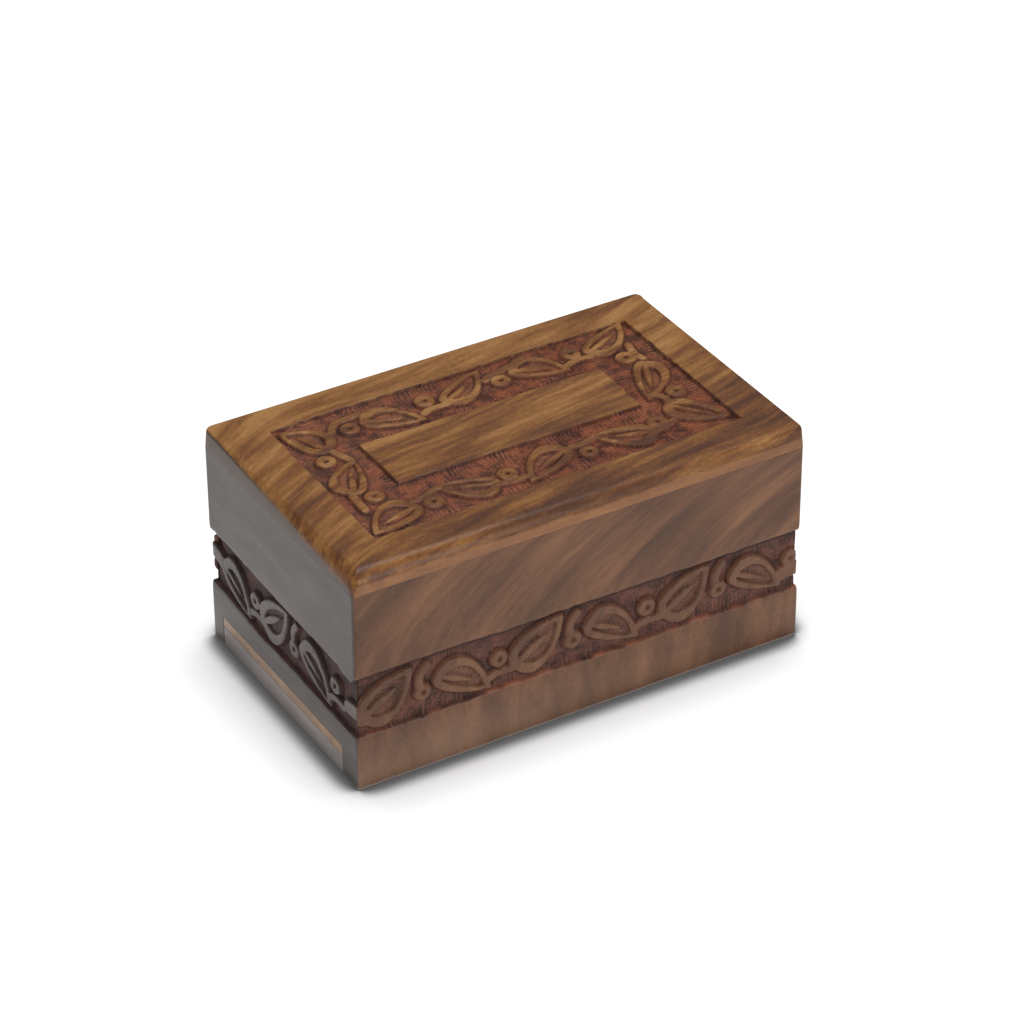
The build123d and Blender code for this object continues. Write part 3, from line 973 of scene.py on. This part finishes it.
def rosewood(name, grain, tones, contrast, stain=None, widths=WALL_STREAKS, shift=0.0, top=False,
             foot=WALL_FOOT_LIT, foot_light_amount=(0.6, 0.6), ior=1.45):
    """Oiled rosewood, and the stained ground of its carving."""
    graph = Graph(name)
    lines = graph.vector_math("ADD", grain(graph), (shift, shift, shift))
    tone, height, fine = streaks(graph, lines, widths, contrast)
    x, y, z = graph.parts(graph.place)
    if top:
        # Painted light on the front and left round-over of the top.
        tone = top_tone_and_light(graph, tone)
    else:
        # The grain shows most strongly along the foot.
        strength = graph.slope(z, 12.0, 18.0, 1.1, 1.0)
        tone = graph.add(graph.times(graph.minus(tone, 0.5), strength), 0.5)
    colour = graph.ramp(tone, list(zip(TONE_PLACES, tones)))
    rough = graph.add(graph.times(fine, 0.14), 0.32)
    if top:
        colour = top_board_edges(graph, colour)
        rough = graph.add(rough, graph.slope(x, -45, 30, 0.0, 0.15))
    else:
        # Painted light on the foot, and a painted reflection along its bottom edge.
        colour = lit_foot(graph, colour, tone, foot, foot_light_amount)
    if stain:
        colour, amount, speck = carved_colours(graph, colour, stain, 0.7 if top else 0.85)
        rough = graph.add(rough, graph.times(amount, 0.35))
        height = graph.add(height, graph.times(amount, speck))
    graph.put(graph.shader.inputs["Base Color"], colour)
    graph.put(graph.shader.inputs["Roughness"], rough)
    graph.shader.inputs["IOR"].default_value = ior
    graph.bump(height, GRAIN_RELIEF)
    return graph.material


# ---------------------------------------------------------------- the stage
def stage():
    """An even white sky, a glowing white table and two soft lights."""
    world = bpy.data.worlds.new("studio")
    world.use_nodes = True
    sky = world.node_tree.nodes["Background"]
    sky.inputs["Color"].default_value = (1, 1, 1, 1)
    sky.inputs["Strength"].default_value = 0.35
    bpy.context.scene.world = world
    bpy.context.scene.view_settings.view_transform = "Standard"
    light_table()
    soft_light("overhead", place=(0.22, 0.26, 1.5), size=1.0, watts=15.0)
    soft_light("front", place=(0.55, -1.6, 0.75), size=1.2, watts=14.0)


def light_table():
    """The floor, a glowing table, with a painted contact shadow: its glow and its colour darken where the
    box stands on it.
    """
    reach = 4000.0
    corners = [(-reach, -reach, 0), (reach, -reach, 0), (reach, reach, 0), (-reach, reach, 0)]
    floor = make_mesh("floor", corners, [(0, 1, 2, 3)])
    graph = Graph("light_table")
    near, wide = graph.openness(8), graph.openness(22)
    # Painted contact shadow, darkest within a few mm of the box.
    clear = graph.slope(near, 0.58, 0.93, 0.18, 1.0)
    glow = graph.times(wide, clear, 0.78)
    grey = graph.times(clear, 0.4)
    graph.put(graph.shader.inputs["Base Color"], graph.join(grey, grey, grey))
    graph.put(graph.shader.inputs["Emission Strength"], glow)
    graph.shader.inputs["Emission Color"].default_value = (1, 1, 1, 1)
    graph.shader.inputs["Roughness"].default_value = 0.9
    graph.shader.inputs["Specular IOR Level"].default_value = 0.0
    floor.data.materials.append(graph.material)


def soft_light(name, place, size, watts):
    """A round soft light that points at the box."""
    lamp = bpy.data.lights.new(name, "AREA")
    lamp.shape = "DISK"
    lamp.size = size
    lamp.energy = watts
    light = bpy.data.objects.new(name, lamp)
    light.location = place
    light.rotation_euler = (-Vector(place)).to_track_quat("-Z", "Y").to_euler()
    bpy.context.scene.collection.objects.link(light)


def camera():
    """The viewpoint: from the front and left, above the box."""
    azimuth, elevation, roll = math.radians(-30.384), math.radians(33.834), math.radians(-0.276)
    right = Vector((math.cos(azimuth), math.sin(azimuth), 0))
    ahead = Vector((-math.sin(azimuth), math.cos(azimuth), 0))
    back = Vector((0, 0, math.sin(elevation))) - ahead * math.cos(elevation)
    up = back.cross(right)
    across = right * math.cos(roll) + up * math.sin(roll)
    upright = up * math.cos(roll) - right * math.sin(roll)
    # How far the camera stands from the box's middle, in lengths of the box.
    away, aside, above = 7.971, 0.0147, 0.0405
    middle = Vector((0, 0, HEIGHT * MM / 2))
    place = middle + (back * away + across * aside + upright * above) * LENGTH * MM
    lens = bpy.data.cameras.new("camera")
    lens.lens = 142.2
    lens.sensor_width = 36
    lens.clip_start = 0.01
    lens.clip_end = 100
    piece = bpy.data.objects.new("camera", lens)
    turn = Matrix((across, upright, back)).transposed().to_4x4()
    piece.matrix_world = Matrix.Translation(place) @ turn
    bpy.context.scene.collection.objects.link(piece)
    bpy.context.scene.camera = piece


# ---------------------------------------------------------------- the box
def woods():
    """The material of each piece."""
    return {
        "top_panel": rosewood("top_rosewood", top_grain, TOP_TONES, contrast=0.8, stain=TOP_STAIN,
                              widths=BOARD_STREAKS, top=True, ior=1.38),
        "front_wall": rosewood("front_rosewood", swept_grain, WALL_TONES, contrast=0.66, stain=WALL_STAIN,
                               widths=FRONT_STREAKS, foot_light_amount=(1.1, 0.25), ior=1.40),
        "back_wall": rosewood("back_rosewood", swept_grain, WALL_TONES, contrast=0.68, stain=WALL_STAIN,
                              shift=170, ior=1.40),
        # The left wall takes the shaded copy of the wood: painted shade and a painted grey reflection.
        "left_wall": rosewood("left_rosewood_shaded", level_grain, SHADED_SIDE_TONES, contrast=0.6, stain=SHADED_SIDE_STAIN,
                              shift=60, foot=SHADED_SIDE_FOOT_LIT),
        "right_wall": rosewood("right_rosewood", level_grain, WALL_TONES, contrast=0.68, stain=WALL_STAIN,
                               shift=240, ior=1.40),
        "slide_board": rosewood("board_rosewood", plank_grain, BOARD_TONES, contrast=0.5,
                                widths=BOARD_STREAKS, shift=310, foot=BOARD_FOOT_LIT),
        # The end block takes a shaded copy too: painted shade and a painted grey reflection.
        "slide_end_block": rosewood("block_rosewood_shaded", level_grain, SHADED_BLOCK_TONES, contrast=0.6,
                                    shift=90, foot=SHADED_BLOCK_FOOT_LIT),
    }


def build():
    """Makes each piece, gives it its wood and puts it on its body."""
    walls = {name: wall_piece(name) for name in WALLS}
    cut_slide_way(walls.values())
    pieces = {"top_panel": top_piece()} | walls
    pieces["slide_board"] = eased_board("slide_board_planed", BOARD_LOW, BOARD_HIGH)
    pieces["slide_end_block"] = eased_board("slide_end_block_planed", BLOCK_LOW, BLOCK_HIGH)
    materials = woods()
    for node, piece in pieces.items():
        smooth(piece)
        piece.data.materials.clear()
        piece.data.materials.append(materials[node])
        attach(piece, "slide" if node.startswith("slide") else "box")
        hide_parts(node)


build()
stage()
camera()
